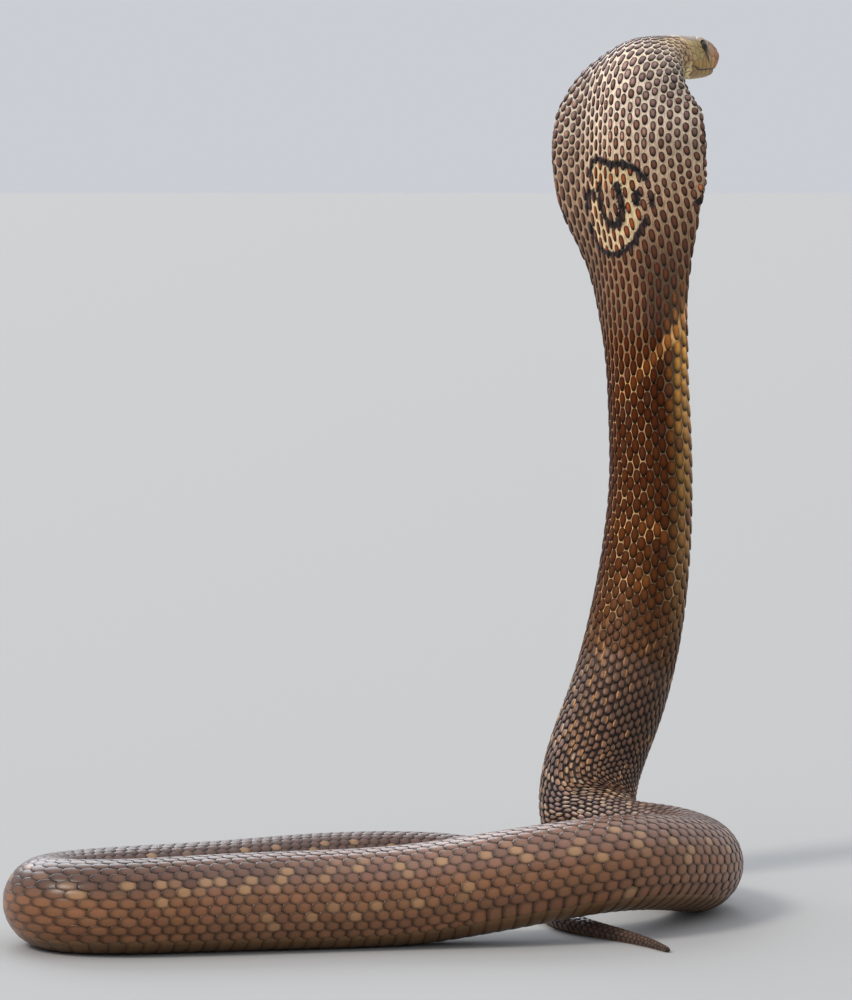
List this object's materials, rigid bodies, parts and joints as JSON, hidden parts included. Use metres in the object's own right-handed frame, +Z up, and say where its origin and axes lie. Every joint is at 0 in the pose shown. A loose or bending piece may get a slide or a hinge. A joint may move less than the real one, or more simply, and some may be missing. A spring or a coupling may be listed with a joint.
{
  "type": "monocled cobra animal figure",
  "caption": "Life-size monocled cobra reared with its hood spread and turned away, its body folded on the ground in a flat loop with the tail tip under the front stretch.",
  "frame": {"origin": "centre of the bounding box in plan, on the floor the belly rests on", "axes": "+Z up, -Y towards the side the animal is seen from in the picture (it sees the back of the hood), +X to that viewer's right, where the head points"},
  "size_m": [0.3263, 0.3154, 0.3964],
  "materials": {
    "head_scales": "smooth satin shields, olive and orange brown",
    "hood_scales": "grey brown scales on pinkish beige skin, satin",
    "neck_scales": "dark reddish brown scales with tan skin between, satin",
    "body_scales": "purplish grey brown overlapping scales, glossy",
    "tail_scales": "dark grey brown scales, glossy",
    "eye": "wet black, very glossy"
  },
  "bodies": {
    "root": {"head": "head_scales", "eye_left": "eye", "eye_right": "eye", "hood": "hood_scales", "neck_upper": "neck_scales", "neck_lower": "neck_scales", "base": "neck_scales", "right_bend": "body_scales", "front_right": "body_scales", "front_left": "body_scales", "left_bend": "body_scales", "back_left": "body_scales", "back_right": "body_scales", "tail_root": "tail_scales", "tail_middle": "tail_scales", "tail_end": "tail_scales"}
  },
  "joints": []
}
